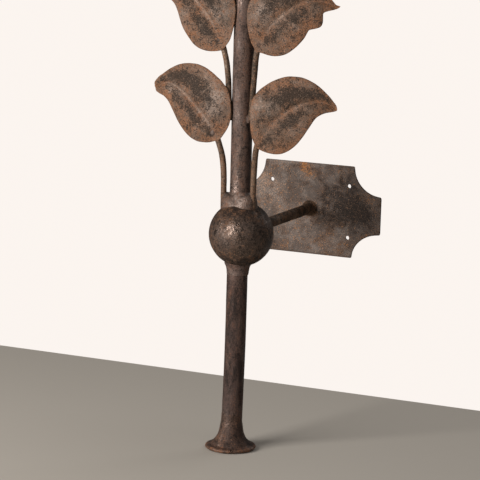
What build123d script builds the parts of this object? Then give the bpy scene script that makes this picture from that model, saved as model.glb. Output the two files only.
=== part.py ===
"""Forged iron wall torch with leaves.

A round bar stands off the wall on one horizontal arm. The arm ends in a hollow ball on the bar. Below the
ball hangs a tube with a flared foot. Above it, stems with cupped sheet leaves climb the bar in pairs, up to
a drip pan and a candle cup. Nothing moves: every piece is welded or riveted.

Frame: millimetres, +Z up, +Y into the wall. The origin is the centre of the wall plate's back face.
"""
import os
from math import cos, radians, sin, sqrt

from build123d import *

# ---- Wall plate: thin sheet with four scooped corners ----------------------------------------
plate_w = 191.0
plate_h = 116.0
plate_t = 2.5
plate_edge_w = 119.0        # straight run along the top and the bottom edge
plate_ear_h = 48.0          # straight run along the left and the right edge
plate_tip_r = 1.5           # rounding of the eight sharp tips
screw_hole_d = 5.0
screw_dx = 104.6
screw_dz = 65.4

# ---- Arm: round bar from the plate to the main bar -------------------------------------------
arm_reach = 216.5           # plate face to the main bar's axis
arm_d = 12.7
arm_shoulder_d = 22.0       # upset shoulder that seats on the plate
arm_shoulder_t = 3.0
arm_flare_l = 11.0          # from the shoulder down to the plain bar
arm_tenon_d = 8.0
arm_rivet_d = 12.0          # tenon hammered into the plate's countersink, flush with its back
arm_rivet_t = 1.5
arm_tenon_l = 15.0          # depth of the front tenon in the main bar

# ---- Ball, main bar, lower tube and foot -----------------------------------------------------
ball_d = 76.2
ball_t = 3.0
seam_w = 3.0                # width of the weld groove round the ball's middle
bar_d = 25.2
bar_spigot_l = 60.0         # thinner end of the bar, from the ball's surface down into the lower tube
bar_shoulder_gap = 0.66     # height from the inside of the ball up to the edge of the bar's shoulder
tube_d = 24.6
tube_wall = 1.5
slip = 0.1                  # radial clearance of the bar in the ball and of its spigot in the tube
foot_bottom = -260.0
foot_d = 60.6
foot_rim_t = 4.5
foot_flare_h = 35.0         # height of the flared part
foot_spigot_l = 25.0
foot_dish = 1.5             # hollow of the foot's underside
foot_waist_h = 12.0         # height above the ground at which the flare has drawn in to its waist
foot_waist_w = 4.8          # beyond the tube, all round
lower_collar_l = 10.5
lower_collar_w = 2.3        # beyond the tube at the ball
lower_collar_step = 0.9     # proud of the tube at its lower edge
arm_weld_w = 3.5            # leg of the weld ring where the arm enters the ball

# ---- Upper collar: weld that holds the bar and the lowest two stems on the ball --------------
collar_side = 0.3           # beyond the stems, to the left and right
collar_wall = 1.5           # beyond the bar, to the front and back
collar_corner_r = 5.0       # seen from above
collar_h = 9.5              # above the ball's crown
collar_round = 3.0

# ---- Stems and leaves ------------------------------------------------------------------------
stem_d = 7.0
stem_gap = 3.7              # between the bar and a stem of the lowest pair
stem_forward = 7.0          # stems stand this far in front of the bar's axis
stem_l = 82.0               # from the lower end of a stem on the bar up to its leaf root
stem_spread = 3.0           # how far it has moved out when it reaches the neck
stem_bend_r = 30.0
stem_weld_r = 4.6
stem_weld_rise = 2.0        # weld centre above the stem's lower end
leaf_neck_h = 26.0          # the stem starts to turn out this far below the root
leaf_seat_x = 6.0           # end of the stem behind the blade, outwards and up from where it meets the blade
leaf_seat_h = 11.0
leaf_pitch = 109.0          # height from one pair of leaves to the next
leaf_root_z = 106.0         # lowest pair, above the ball's centre
leaf_h = 86.5               # from the leaf root to the top of the blade
leaf_belly = 11.5           # the blade reaches this far inwards from its root
leaf_t = 1.2
leaf_stem_gap = 3.0         # from the front of a stem to the plane of the leaf roots
leaf_bar_gap = 0.6          # least distance of that plane in front of the bar where a blade laps over it
leaf_lean = 7.0             # degrees that each blade turns back towards the wall
leaf_dome_r = 220.0         # radius of the blade's cupping
leaf_dome_u = 36.0          # crown of the cupping, outwards and upwards from the leaf root
leaf_dome_w = 38.0
leaf_edge_r = 47.0          # distance from the crown at which the blade crosses its own root plane
leaf_weld_r = 4.8
# One row a pair, from the lowest: its name, how far its blades lap over the bar's sides (negative: clear of
# them), then for the left and for the right leaf how far it sits above the pair's height, how many degrees it
# is turned up, and how far outwards from its root the stem meets it. The small differences are those of work
# bent by hand.
leaf_rows = [
    ("lower", -0.4, (4.0, 3.0, 2.0), (-1.5, -1.5, -2.5)),
    ("middle", 3.6, (2.8, 5.0, 2.0), (1.0, 1.0, -1.5)),
    ("upper", 3.6, (3.0, 3.0, 2.0), (0.0, 0.0, -1.5)),
]

# ---- Drip pan and candle cup -----------------------------------------------------------------
pan_clear = 19.5            # from the top of the highest blades to the pan
pan_d = 120.0
pan_floor_d = 84.0
pan_depth = 11.0
pan_t = 1.5
pan_bead_d = 4.0
cup_bore_d = 22.8
cup_wall = 1.6
cup_floor = 2.0
cup_h = 34.0
cup_lip_w = 2.5             # lip proud of the cup's side
cup_lip_t = 2.0
top_tenon_d = 10.0          # bar end that holds pan and cup
top_rivet_d = 14.0          # hammered into the cup's countersunk floor, flush

# ---- Places worked out from the sizes --------------------------------------------------------
axis_y = -(plate_t + arm_reach)
ball_r = ball_d / 2
bar_r = bar_d / 2
tube_r = tube_d / 2
tube_bore_r = tube_r - tube_wall
spigot_r = tube_bore_r - slip
arm_r = arm_d / 2
stem_r = stem_d / 2
foot_top = foot_bottom + foot_flare_h
bar_bottom = -(ball_r + bar_spigot_l)
bar_shoulder = bar_shoulder_gap - sqrt((ball_r - ball_t) ** 2 - bar_r**2)      # inside the ball
bar_top = leaf_root_z + (len(leaf_rows) - 1) * leaf_pitch + leaf_h + pan_clear
lap_depth = max(sqrt(bar_r**2 - (bar_r - max(lap, 0)) ** 2) for name, lap, left, right in leaf_rows)
leaf_forward = max(stem_forward + stem_r + leaf_stem_gap, lap_depth + leaf_bar_gap)
ball_centre = (0, axis_y, 0)
bar_axis = Axis(ball_centre, (0, 0, 1))
bar_section = Plane(origin=ball_centre, x_dir=(1, 0, 0), z_dir=(0, -1, 0))     # local x is X, local y is Z
stem_plane = bar_section.offset(stem_forward)
tooling = 3 * ball_d        # longer than any piece that is cut back by a plain cylinder

os.makedirs("parts", exist_ok=True)


def save(builder, name):
    """Label a finished piece and write it as its own STEP file."""
    builder.part.label = name
    export_step(builder.part, f"parts/{name}.step")


# ---- Arm -------------------------------------------------------------------------------------
with BuildPart() as arm:
    with BuildSketch(Plane.YZ):
        with BuildLine():
            flare_start = -(plate_t + arm_shoulder_t)
            flare_end = flare_start - arm_flare_l
            Polyline(
                (flare_start, arm_shoulder_d / 2),
                (-plate_t, arm_shoulder_d / 2),
                (-plate_t, arm_tenon_d / 2),
                (-arm_rivet_t, arm_tenon_d / 2),
                (0, arm_rivet_d / 2),
                (0, 0),
                (axis_y, 0),
                (axis_y, arm_r),
                (flare_end, arm_r),
            )
            TangentArc((flare_end, arm_r), (flare_start, arm_shoulder_d / 2), tangent=(1, 0))
        make_face()
    revolve(axis=Axis.Y)
    with Locations(ball_centre):
        Cylinder(bar_r, tooling, mode=Mode.SUBTRACT)
    with BuildSketch(Plane.XZ.offset(-axis_y - bar_r + arm_tenon_l)):
        Circle(arm_tenon_d / 2)
    extrude(amount=-arm_tenon_l - arm_r)
save(arm, "arm")

# ---- Wall plate ------------------------------------------------------------------------------
notch_x = (plate_w - plate_edge_w) / 2
notch_z = (plate_h - plate_ear_h) / 2

with BuildPart() as back_plate:
    with BuildSketch(Plane.XZ):
        Rectangle(plate_w, plate_h)
        with GridLocations(plate_w, plate_h, 2, 2):
            Ellipse(notch_x, notch_z, mode=Mode.SUBTRACT)
        fillet(vertices(), plate_tip_r)
        with GridLocations(screw_dx, screw_dz, 2, 2):
            Circle(screw_hole_d / 2, mode=Mode.SUBTRACT)
    extrude(amount=plate_t)
    add(arm.part, mode=Mode.SUBTRACT)
save(back_plate, "back_plate")

# ---- Main bar --------------------------------------------------------------------------------
cup_seat = bar_top + pan_t
cup_floor_top = cup_seat + cup_floor

with BuildPart() as main_bar:
    with BuildSketch(bar_section):
        with BuildLine():
            Polyline(
                (0, bar_bottom),
                (spigot_r, bar_bottom),
                (spigot_r, bar_shoulder),
                (bar_r, bar_shoulder),
                (bar_r, bar_top),
                (top_tenon_d / 2, bar_top),
                (top_tenon_d / 2, cup_seat),
                (top_rivet_d / 2, cup_floor_top),
                (0, cup_floor_top),
                close=True,
            )
        make_face()
    revolve(axis=bar_axis)
    add(arm.part, mode=Mode.SUBTRACT)
save(main_bar, "main_bar")

# ---- Hollow ball: two pressed halves and the weld between them -------------------------------
with BuildPart() as ball_seam_weld:
    with BuildSketch(bar_section):
        with BuildLine():
            Polyline(
                (ball_r - ball_t, 0),
                (ball_r + seam_w, -seam_w / 2 * (ball_t + seam_w) / ball_t),
                (ball_r + seam_w, seam_w / 2 * (ball_t + seam_w) / ball_t),
                close=True,
            )
        make_face()
    revolve(axis=bar_axis)
    with Locations(ball_centre):
        Sphere(ball_r, mode=Mode.INTERSECT)
    with BuildSketch(Plane.XZ.offset(-axis_y)):
        Circle(arm_r)
    extrude(amount=-tooling, mode=Mode.SUBTRACT)
save(ball_seam_weld, "ball_seam_weld")

for name, keep, hole_r in (
    ("ball_upper_half", Keep.TOP, bar_r + slip),
    ("ball_lower_half", Keep.BOTTOM, tube_bore_r),
):
    with BuildPart() as half:
        with Locations(ball_centre):
            Sphere(ball_r)
            Sphere(ball_r - ball_t, mode=Mode.SUBTRACT)
            Cylinder(hole_r, tooling, mode=Mode.SUBTRACT)
        split(bisect_by=Plane.XY, keep=keep)
        add(arm.part, mode=Mode.SUBTRACT)
        add(ball_seam_weld.part, mode=Mode.SUBTRACT)
    save(half, name)

# ---- Weld ring where the arm enters the ball -------------------------------------------------
with BuildPart() as ball_arm_weld:
    with BuildSketch(Plane.YZ):
        with BuildLine():
            ball_back = axis_y + sqrt(ball_r**2 - arm_r**2)
            Polyline(
                (ball_back - arm_weld_w, arm_r),
                (ball_back - arm_weld_w, arm_r + arm_weld_w),
                (ball_back, arm_r + arm_weld_w),
                (ball_back + arm_weld_w, arm_r),
                close=True,
            )
        make_face()
    revolve(axis=Axis.Y)
    with Locations(ball_centre):
        Sphere(ball_r, mode=Mode.SUBTRACT)
save(ball_arm_weld, "ball_arm_weld")

# ---- Lower tube, foot and the collar under the ball ------------------------------------------
with BuildPart() as lower_tube:
    with BuildSketch(Plane.XY.offset(foot_top)):
        with Locations((0, axis_y)):
            Circle(tube_r)
            Circle(tube_bore_r, mode=Mode.SUBTRACT)
    extrude(amount=-foot_top)
    with Locations(ball_centre):
        Sphere(ball_r, mode=Mode.SUBTRACT)
save(lower_tube, "lower_tube")

with BuildPart() as foot:
    with BuildSketch(bar_section):
        with BuildLine():
            rim_top = foot_bottom + foot_rim_t
            outside = Polyline(
                (0, foot_bottom + foot_dish),
                (foot_d / 2 - foot_rim_t, foot_bottom),
                (foot_d / 2, foot_bottom),
                (foot_d / 2, rim_top),
            )
            Spline(
                (foot_d / 2, rim_top),
                (tube_r + foot_waist_w, foot_bottom + foot_waist_h),
                (tube_r, foot_top),
                tangents=[(-1, 0.15), (0, 1)],
            )
            Polyline(
                (tube_r, foot_top),
                (spigot_r, foot_top),
                (spigot_r, foot_top + foot_spigot_l),
                (0, foot_top + foot_spigot_l),
                outside @ 0,
            )
        make_face()
    revolve(axis=bar_axis)
save(foot, "foot")

with BuildPart() as lower_collar:
    with BuildSketch(bar_section):
        with BuildLine():
            collar_low = -(ball_r + lower_collar_l)
            collar_mid = -(ball_r - 1)
            Polyline(
                (tube_r, collar_low),
                (tube_r + lower_collar_step, collar_low),
                (tube_r + lower_collar_w, collar_mid),
                (tube_r + lower_collar_w, collar_mid + ball_t),
                (tube_r, collar_mid + ball_t),
                close=True,
            )
        make_face()
    revolve(axis=bar_axis)
    with Locations(ball_centre):
        Sphere(ball_r, mode=Mode.SUBTRACT)
save(lower_collar, "lower_collar")


# ---- Leaf shapes -----------------------------------------------------------------------------
def leaf_plane(root_x, height, turn):
    """Plane of a right-hand blade: x outwards, y up, normal to the front, origin at the leaf root."""
    lean = radians(leaf_lean)
    plane = Plane(
        origin=(root_x, axis_y - leaf_forward, height),
        x_dir=(cos(lean), sin(lean), 0),
        z_dir=(sin(lean), -cos(lean), 0),
    )
    return plane.rotated((0, 0, turn))


def dome_centre(plane):
    """Centre of the sphere that a blade is cupped to, well behind the blade."""
    rise = leaf_dome_r - sqrt(leaf_dome_r**2 - leaf_edge_r**2)
    return plane.from_local_coords(Vector(leaf_dome_u, leaf_dome_w, rise - leaf_dome_r))


def leaf_outline(lobed):
    """Face of a blade in its own plane: round at the root, drawn out to a blunt tip that points outwards."""
    root, tip_low, tip_high = (0, 0), (91.0, 49.5), (93.5, 56.0)
    with BuildSketch() as outline:
        with BuildLine():
            if lobed:
                Spline(root, (23, -4), (45, 5), (62, 27.5), tangents=[(1, -0.6), (0.6, 0.9)])
                FilletPolyline((62, 27.5), (76.5, 31.5), (78.5, 49), tip_low, radius=2.5)
            else:
                Spline(
                    root, (24, -4.4), (44, 3.5), (57, 18.5), (67.5, 35), (78, 45), tip_low,
                    tangents=[(1, -0.6), (1, 0.2)],
                )
            ThreePointArc(tip_low, (94, 52), tip_high)
            Spline(
                tip_high, (82, 68.5), (65, 80.5), (41, 86.5), (16, 80), (-5, 61), (-11.5, 36), (-7, 11), root,
                tangents=[(-0.6, 1), (0.9, -1)],
            )
        make_face()
    return outline.sketch


# ---- Stems and leaves, pair by pair ----------------------------------------------------------
stem_touch_x = sqrt((bar_r + stem_r) ** 2 - stem_forward**2)        # where a stem's side rests on the bar
stems, stem_ends = [], []
for pair, (pair_name, lap, *sides) in enumerate(leaf_rows):
    root_x = bar_r - lap + leaf_belly
    for side, side_name, (lift, turn, neck_x) in zip((-1, 1), ("left", "right"), sides):
        root_z = leaf_root_z + pair * leaf_pitch + lift
        plane = leaf_plane(root_x, root_z, turn)
        dome = dome_centre(plane)

        with BuildPart() as leaf:
            with BuildSketch(plane):
                add(leaf_outline(lobed=(pair_name, side_name) == ("middle", "right")))
            extrude(amount=leaf_edge_r / 2, both=True)
            with Locations(dome):
                Sphere(leaf_dome_r, mode=Mode.INTERSECT)
                Sphere(leaf_dome_r - leaf_t, mode=Mode.SUBTRACT)
            if side < 0:
                mirror(about=Plane.YZ, mode=Mode.REPLACE)
        save(leaf, f"leaf_{pair_name}_{side_name}")

        if pair == 0:
            start = (bar_r + stem_gap + stem_r, ball_r / 2)
            bend = (start[0] + stem_spread / 5, root_z - leaf_neck_h)
        else:
            start = (stem_touch_x, root_z - stem_l)
            bend = (start[0] + stem_spread, root_z - leaf_neck_h)
        neck = (root_x + neck_x, root_z)
        end = (neck[0] + leaf_seat_x, root_z + leaf_seat_h)
        with BuildPart() as stem:
            with BuildLine(stem_plane) as stem_line:
                FilletPolyline(start, bend, neck, end, radius=stem_bend_r)
            with BuildSketch(Plane(origin=stem_line.line @ 0, z_dir=stem_line.line % 0)):
                Circle(stem_r)
            sweep()
            with Locations(ball_centre):
                Sphere(ball_r, mode=Mode.SUBTRACT)
            if side < 0:
                mirror(about=Plane.YZ, mode=Mode.REPLACE)
        save(stem, f"stem_{pair_name}_{side_name}")
        stems.append(stem.part)
        stem_ends.append((side, start, end, dome))

# ---- Upper collar ----------------------------------------------------------------------------
with BuildPart() as upper_collar:
    with BuildSketch(Plane.XY.offset(ball_r / 2)):
        with Locations((0, axis_y)):
            collar_w = 2 * (bar_r + stem_gap + stem_d + collar_side)
            RectangleRounded(collar_w, 2 * (bar_r + collar_wall), collar_corner_r)
    extrude(amount=ball_r / 2 + collar_h)
    fillet(upper_collar.faces().sort_by(Axis.Z)[-1].edges(), collar_round)
    with Locations(ball_centre):
        Sphere(ball_r, mode=Mode.SUBTRACT)
        Cylinder(bar_r, tooling, mode=Mode.SUBTRACT)
    for stem_part in stems[:2]:
        add(stem_part, mode=Mode.SUBTRACT)
save(upper_collar, "upper_collar")

# ---- Welds at the foot of each upper stem, and behind each leaf ------------------------------
with BuildPart() as stem_foot_welds:
    for side, start, end, dome in stem_ends[2:]:
        touch = bar_r / (bar_r + stem_r)        # share of the way from the axis where stem and bar meet
        place = (side * start[0] * touch, axis_y - stem_forward * touch, start[1] + stem_weld_rise)
        with Locations(place):
            Sphere(stem_weld_r)
    with Locations(ball_centre):
        Cylinder(bar_r, 3 * bar_top, mode=Mode.SUBTRACT)
    for stem_part in stems[2:]:
        add(stem_part, mode=Mode.SUBTRACT)
save(stem_foot_welds, "stem_foot_welds")

leaf_weld_parts = []
for (side, start, end, dome), stem_part in zip(stem_ends, stems):
    with BuildPart() as weld:
        with Locations((end[0], axis_y - stem_forward - stem_r, end[1])):
            Sphere(leaf_weld_r)
        with Locations(dome):
            Sphere(leaf_dome_r - leaf_t, mode=Mode.INTERSECT)
        if side < 0:
            mirror(about=Plane.YZ, mode=Mode.REPLACE)
        add(stem_part, mode=Mode.SUBTRACT)
    leaf_weld_parts.append(weld.part)

with BuildPart() as leaf_welds:
    for weld_part in leaf_weld_parts:
        add(weld_part)
save(leaf_welds, "leaf_welds")

# ---- Drip pan and candle cup -----------------------------------------------------------------
with BuildPart() as drip_pan:
    with BuildSketch(bar_section):
        with BuildLine():
            floor_r, rim_r = pan_floor_d / 2, pan_d / 2 - pan_bead_d / 2
            rim_z = bar_top + pan_depth
            Polyline(
                (rim_r - pan_t / 2, rim_z),
                (rim_r - pan_t / 2, rim_z - pan_depth / 4),
                (floor_r, bar_top + pan_t),
                (top_tenon_d / 2, bar_top + pan_t),
                (top_tenon_d / 2, bar_top),
                (floor_r + pan_t / 2, bar_top),
                (rim_r + pan_t / 2, rim_z - pan_depth / 4 - pan_t / 2),
                (rim_r + pan_t / 2, rim_z),
                close=True,
            )
        make_face()
        with Locations((rim_r, rim_z)):
            Circle(pan_bead_d / 2)
    revolve(axis=bar_axis)
save(drip_pan, "drip_pan")

with BuildPart() as candle_cup:
    with BuildSketch(bar_section):
        with BuildLine():
            cup_r = cup_bore_d / 2 + cup_wall
            cup_top = cup_seat + cup_h
            Polyline(
                (0, cup_seat),
                (cup_r, cup_seat),
                (cup_r, cup_top - cup_lip_t),
                (cup_r + cup_lip_w, cup_top - cup_lip_t),
                (cup_r + cup_lip_w, cup_top),
                (cup_bore_d / 2, cup_top),
                (cup_bore_d / 2, cup_floor_top),
                (0, cup_floor_top),
                close=True,
            )
        make_face()
    revolve(axis=bar_axis)
    add(main_bar.part, mode=Mode.SUBTRACT)
save(candle_cup, "candle_cup")
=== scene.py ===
"""Looks of a forged iron wall torch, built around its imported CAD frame.

Every piece is a surface worked out on a grid of two parameters, or a profile carried round an axis or
along a path, then dented and pitted as hammered iron is. Metres, +Z up, the wall on the +Y side. Lengths
are given in millimetres where that reads better and multiplied by MM.
"""
from math import cos, pi, radians, sin, sqrt

import bmesh
import bpy
import numpy as np
from mathutils import Matrix, Vector


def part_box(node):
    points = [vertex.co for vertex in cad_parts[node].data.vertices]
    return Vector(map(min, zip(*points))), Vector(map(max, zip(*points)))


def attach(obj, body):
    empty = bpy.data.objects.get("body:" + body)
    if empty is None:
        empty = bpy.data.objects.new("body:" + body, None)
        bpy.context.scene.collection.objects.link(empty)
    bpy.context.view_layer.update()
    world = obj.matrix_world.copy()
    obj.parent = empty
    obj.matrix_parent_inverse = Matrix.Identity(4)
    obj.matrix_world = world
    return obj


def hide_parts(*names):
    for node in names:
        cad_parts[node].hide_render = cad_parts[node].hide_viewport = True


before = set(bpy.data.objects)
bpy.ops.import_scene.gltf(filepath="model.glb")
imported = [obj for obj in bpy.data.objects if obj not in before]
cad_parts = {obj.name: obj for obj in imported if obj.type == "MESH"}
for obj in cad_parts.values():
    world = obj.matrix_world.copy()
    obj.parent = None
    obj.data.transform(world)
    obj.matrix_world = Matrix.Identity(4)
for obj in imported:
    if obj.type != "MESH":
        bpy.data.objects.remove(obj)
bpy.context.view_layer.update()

MM = 0.001


# ---- Sizes read from the frame ---------------------------------------------------------------
def low(node):
    return np.array(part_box(node)[0])


def high(node):
    return np.array(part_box(node)[1])


axis_y = (low("main_bar")[1] + high("main_bar")[1]) / 2
bar_r = (high("main_bar")[0] - low("main_bar")[0]) / 2
ball_r = (high("ball_seam_weld")[0] - low("ball_seam_weld")[0]) / 2
tube_r = (high("lower_tube")[0] - low("lower_tube")[0]) / 2
arm_r = 6.35 * MM
spigot_r = tube_r - 1.6 * MM
stem_r = (high("stem_middle_left")[1] - low("stem_middle_left")[1]) / 2
stem_y = (high("stem_middle_left")[1] + low("stem_middle_left")[1]) / 2
ball = np.array([3.6 * MM, axis_y, 0.0])
ground = low("foot")[2]


# ---- Noise and shape helpers -----------------------------------------------------------------
def fade(t):
    """Smooth step from 0 to 1: 3 t^2 - 2 t^3, held at both ends."""
    t = np.clip(t, 0, 1)
    return t * t * (3 - 2 * t)


def grain(points, size, seed):
    """Value noise from -1 to 1: random numbers on a repeating cubic lattice of pitch size, blended
    between the eight corners of each cell with the fade curve."""
    n = 48
    lattice = np.random.default_rng(seed).uniform(-1, 1, (n, n, n))
    place = points / size
    cell = np.floor(place).astype(int)
    w = fade(place - cell)
    total = np.zeros(points.shape[:-1])
    for corner in np.ndindex(2, 2, 2):
        weight = np.prod(np.where(corner, w, 1 - w), axis=-1)
        i, j, k = np.moveaxis((cell + corner) % n, -1, 0)
        total += weight * lattice[i, j, k]
    return total


def layered(points, size, seed, layers=3):
    """Noise of several sizes: each layer is half the size and half the height of the one before."""
    parts = [grain(points, size / 2**k, seed + k) / 2**k for k in range(layers)]
    return sum(parts) / sum(0.5**k for k in range(layers))


def pits(points, size, seed, share=0.5):
    """Round pits from 0 to 1: each lattice cell may hold one bowl, 1 - (d / r)^2 at distance d from its
    centre, of random place and radius; share is the part of the cells that hold one."""
    n = 32
    rng = np.random.default_rng(seed)
    centre = rng.uniform(0.2, 0.8, (n, n, n, 3))
    radius = rng.uniform(0.2, 0.6, (n, n, n)) * (rng.uniform(0, 1, (n, n, n)) < share)
    place = points / size
    cell = np.floor(place).astype(int)
    depth = np.zeros(points.shape[:-1])
    for step in np.ndindex(3, 3, 3):
        at = cell + step - 1
        i, j, k = np.moveaxis(at % n, -1, 0)
        d2 = np.sum((place - at - centre[i, j, k]) ** 2, axis=-1)
        depth = np.maximum(depth, 1 - d2 / np.maximum(radius[i, j, k], 1e-6) ** 2)
    return depth


def rounded(corners, radii, step):
    """Open polyline through corners with each inner corner replaced by a parabola between points at its
    radius along both legs, then cut into equal steps by length."""
    corners = np.array(corners, float)
    pieces = [corners[:1]]
    t = np.linspace(0, 1, 7)[:, None]
    for before, at, after, r in zip(corners[:-2], corners[1:-1], corners[2:], radii):
        a = at + (before - at) * min(0.5, r / np.linalg.norm(before - at))
        b = at + (after - at) * min(0.5, r / np.linalg.norm(after - at))
        pieces.append((1 - t) ** 2 * a + 2 * t * (1 - t) * at + t**2 * b)
    line = np.vstack([*pieces, corners[-1:]])
    return spaced(line, step)


def spaced(line, step):
    """The same line with points at equal steps of about the given length."""
    lengths = np.linalg.norm(np.diff(line, axis=0), axis=1)
    line = line[np.r_[True, lengths > 1e-9]]
    at = np.r_[0, np.cumsum(np.linalg.norm(np.diff(line, axis=0), axis=1))]
    want = np.linspace(0, at[-1], max(3, int(round(at[-1] / step)) + 1))
    return np.stack([np.interp(want, at, c) for c in line.T], axis=1)


def curve_through(points, count, closed=False):
    """Smooth line through a few points: a cubic from each to the next whose end slopes are half the step
    between its neighbours."""
    p = np.array(points, float)
    before = np.roll(p, 1, 0) if closed else np.vstack([2 * p[:1] - p[1:2], p[:-1]])
    after = np.roll(p, -1, 0) if closed else np.vstack([p[1:], 2 * p[-1:] - p[-2:-1]])
    slope = (after - before) / 2
    spans = len(p) if closed else len(p) - 1
    u = np.linspace(0, spans, count, endpoint=not closed)
    k = np.minimum(u.astype(int), spans - 1)
    t = (u - k)[:, None]
    n = (k + 1) % len(p)
    return (
        (2 * t**3 - 3 * t**2 + 1) * p[k] + (t**3 - 2 * t**2 + t) * slope[k]
        + (3 * t**2 - 2 * t**3) * p[n] + (t**3 - t**2) * slope[n]
    )


def turned(profile, around=64, pole="z"):
    """Surface of revolution: profile rows are (radius, place along the axis), carried round the bar's
    axis, or with pole 'y' round the arm's axis. Grid of profile rows by angles."""
    a = np.linspace(0, 2 * pi, around, endpoint=False)
    r, h = profile[:, :1], profile[:, 1:]
    across, beyond, along = r * np.cos(a), r * np.sin(a), h + 0 * a
    if pole == "y":
        return np.stack([across, along, beyond], axis=-1)
    return np.stack([across, axis_y + beyond, along], axis=-1)


def carried(path, radius, around=20):
    """Round bar along a path: at each point a circle across the path, its radius from the list, one axis
    of the circle in the plane of the path and the other along Y. Rows are path points, columns are
    angles."""
    slope = np.gradient(path, axis=0)
    slope /= np.linalg.norm(slope, axis=1, keepdims=True)
    back = np.array([0.0, 1.0, 0.0])
    side = np.cross(slope, back)
    side /= np.linalg.norm(side, axis=1, keepdims=True)
    a = np.linspace(0, 2 * pi, around, endpoint=False)[None, :, None]
    r = np.asarray(radius)[:, None, None]
    return path[:, None] + r * (np.cos(a) * side[:, None] + np.sin(a) * np.cross(side, slope)[:, None])


def outward(grid, loop=False):
    """Unit normals of a grid that closes along its columns, and along its rows too if loop is set: the
    cross product of the two steps to the neighbours."""
    if loop:
        du = np.roll(grid, -1, 0) - np.roll(grid, 1, 0)
    else:
        du = np.gradient(grid, axis=0)
    dv = np.roll(grid, -1, 1) - np.roll(grid, 1, 1)
    n = np.cross(du, dv)
    size = np.linalg.norm(n, axis=-1, keepdims=True)
    n = np.where(size > 1e-14, n / np.maximum(size, 1e-14), 0)
    volume = np.sum(n * (grid - grid.reshape(-1, 3).mean(0)))
    return n if volume > 0 else -n


def hammered(grid, seed, dents=0.15, dent_size=14.0, roughness=0.05, pit=0.0, pit_size=2.4, loop=False):
    """The grid moved along its normals, in millimetres: broad hammer dents, a fine scale, and rust
    pits."""
    n = outward(grid, loop)
    move = dents * layered(grid, dent_size * MM, seed)
    move = move + roughness * layered(grid, 2.2 * MM, seed + 5)
    if pit:
        patches = fade(0.5 + layered(grid, 18 * MM, seed + 3))
        move = move - pit * pits(grid, pit_size * MM, seed + 9) * patches
    return grid + n * (move * MM)[..., None]


# ---- Pieces ----------------------------------------------------------------------------------
def faces_of(rows, cols, loop):
    """Four-cornered faces of a grid of rows by columns that closes along its columns, and along its rows
    too if loop is set."""
    i = np.arange(rows if loop else rows - 1)[:, None]
    j = np.arange(cols)[None]
    up, across = (i + 1) % rows, (j + 1) % cols
    return np.stack([i * cols + j, i * cols + across, up * cols + across, up * cols + j], -1).reshape(-1, 4)


def piece(name, grids, material, replaces, loop=False, sharp=35, attributes=None):
    """One closed mesh from one or more grids. Rings that shrink to a point are merged into it, and the
    faces are turned outwards. attributes maps a name to one array for each grid, kept on the points."""
    points, faces, start = [], [], 0
    for grid in grids:
        rows, cols, _ = grid.shape
        points.append(grid.reshape(-1, 3))
        faces.append(faces_of(rows, cols, loop) + start)
        start += rows * cols
    mesh = bpy.data.meshes.new(name)
    mesh.from_pydata(np.vstack(points), [], np.vstack(faces))
    for key, values in (attributes or {}).items():
        layer = mesh.attributes.new(key, "FLOAT", "POINT")
        layer.data.foreach_set("value", np.concatenate([v.ravel() for v in values]).astype(np.float32))
    work = bmesh.new()
    work.from_mesh(mesh)
    bmesh.ops.remove_doubles(work, verts=work.verts, dist=1e-7)
    if not loop:
        open_edges = [e for e in work.edges if e.is_boundary]
        if open_edges:
            bmesh.ops.holes_fill(work, edges=open_edges, sides=0)
    bmesh.ops.recalc_face_normals(work, faces=work.faces)
    work.to_mesh(mesh)
    work.free()
    mesh.shade_smooth()
    mesh.set_sharp_from_angle(angle=radians(sharp))
    mesh.materials.append(material)
    made = bpy.data.objects.new(name, mesh)
    bpy.context.scene.collection.objects.link(made)
    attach(made, "root")
    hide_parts(*replaces)
    return made


# ---- Shader helpers --------------------------------------------------------------------------
noise_spread = 12           # brings the noise texture's narrow range round 0.5 to a spread of about 1
bump_depth = 0.8 * MM
iron_specular = 0.3


class Value:
    """A number that varies over the surface: wraps a socket, and arithmetic on it adds Math nodes."""

    def __init__(self, tree, socket):
        self.tree, self.socket = tree, socket

    def math(self, operation, *others, clamp=False):
        settings = {"operation": operation, "use_clamp": clamp}
        return self.tree.add("ShaderNodeMath", settings, [self, *others]).value(0)

    def __add__(self, other):
        return self.math("ADD", other)

    def __sub__(self, other):
        return self.math("SUBTRACT", other)

    def __rsub__(self, other):
        return (self * -1) + other

    def __mul__(self, other):
        return self.math("MULTIPLY", other)

    def __truediv__(self, other):
        return self.math("DIVIDE", other)

    def __pow__(self, other):
        return self.math("POWER", other)

    __radd__, __rmul__ = __add__, __mul__

    def clamped(self):
        return self.math("ADD", 0.0, clamp=True)

    def least(self, other):
        return self.math("MINIMUM", other)

    def most(self, other):
        return self.math("MAXIMUM", other)

    def between(self, start, end):
        """0 below start, 1 above end, smooth between them."""
        made = self.tree.add(
            "ShaderNodeMapRange", {"interpolation_type": "SMOOTHSTEP"},
            {"Value": self, "From Min": start, "From Max": end},
        )
        return made.value("Result")


class Made:
    """A node just added, whose outputs are read by name or number."""

    def __init__(self, tree, node):
        self.tree, self.node = tree, node

    def value(self, output=0):
        return Value(self.tree, self.node.outputs[output])


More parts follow.
